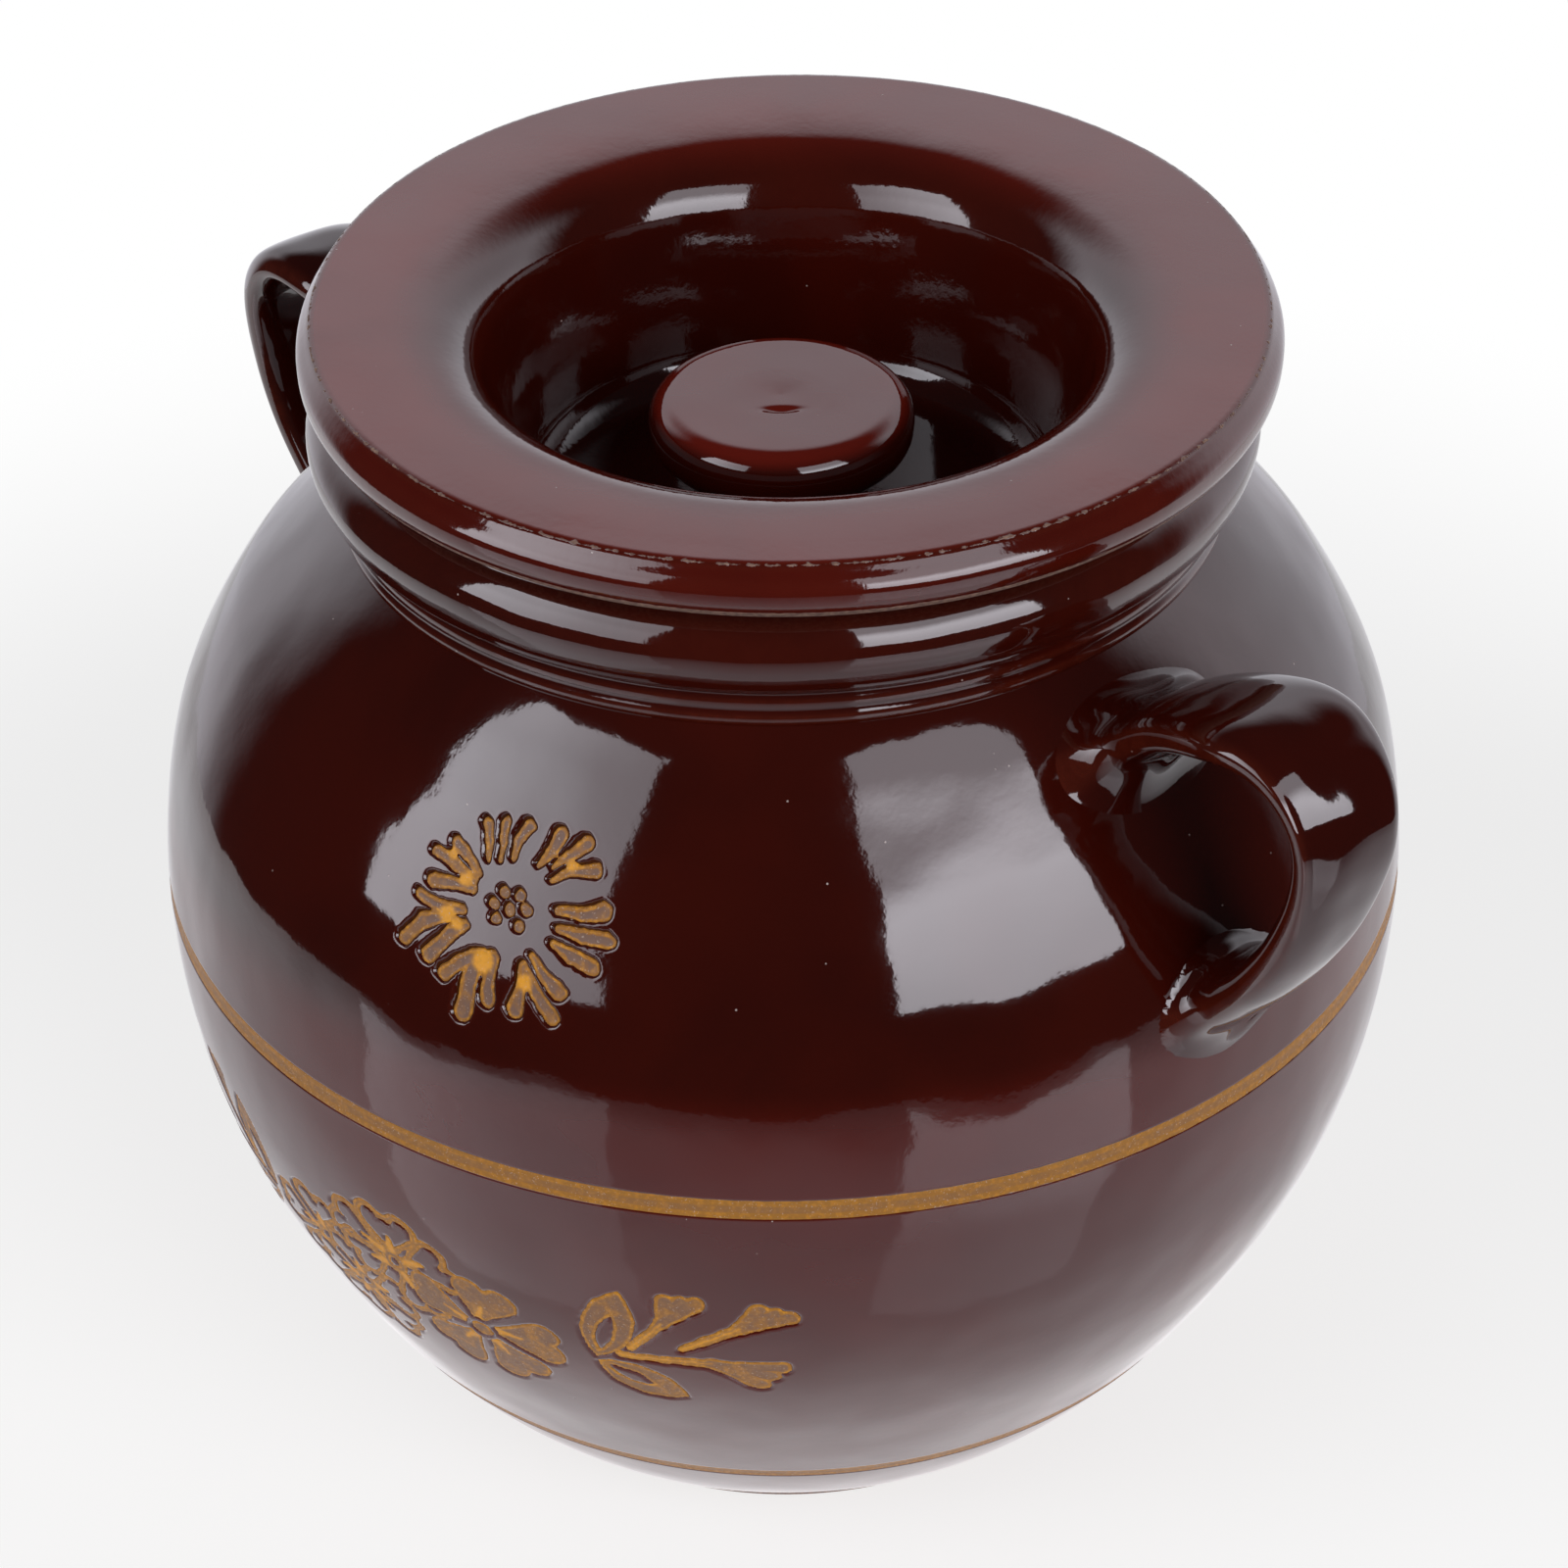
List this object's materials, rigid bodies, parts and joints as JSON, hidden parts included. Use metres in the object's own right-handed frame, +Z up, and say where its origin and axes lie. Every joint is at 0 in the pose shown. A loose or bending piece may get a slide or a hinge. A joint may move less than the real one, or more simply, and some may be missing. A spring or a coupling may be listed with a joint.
{
  "type": "lidded pickle crock",
  "caption": "Round-bellied glazed stoneware crock with two strap ears, turned bands, a carved flower and spray, and a lift-off lid with a sunken button knob.",
  "frame": {"origin": "centre of the foot on the surface it stands on", "axes": "+Z up; the two ears stand near the X axis, both turned 3.8 degrees towards the front; the front faces -Y"},
  "size_m": [0.2384, 0.2, 0.1947],
  "materials": {
    "red_brown_glaze": "deep red-brown gloss glaze",
    "ochre_slip": "ochre slip under a thin gloss glaze, sunk in cut recesses"
  },
  "bodies": {
    "crock": {"crock_body": "red_brown_glaze", "right_ear": "red_brown_glaze", "left_ear": "red_brown_glaze", "upper_band": "ochre_slip", "lower_band": "ochre_slip", "flower_petals": "ochre_slip", "flower_seeds": "ochre_slip", "blossom_inlay": "ochre_slip", "leaf_inlay": "ochre_slip", "bud_inlay": "ochre_slip"},
    "cover": {"lid": "red_brown_glaze", "lid_knob": "red_brown_glaze"}
  },
  "joints": [
    {"name": "lid_lift", "type": "slide", "parent": "crock", "child": "cover", "axis": [0, 0, 1], "range_m": [0, 0.06]}
  ]
}
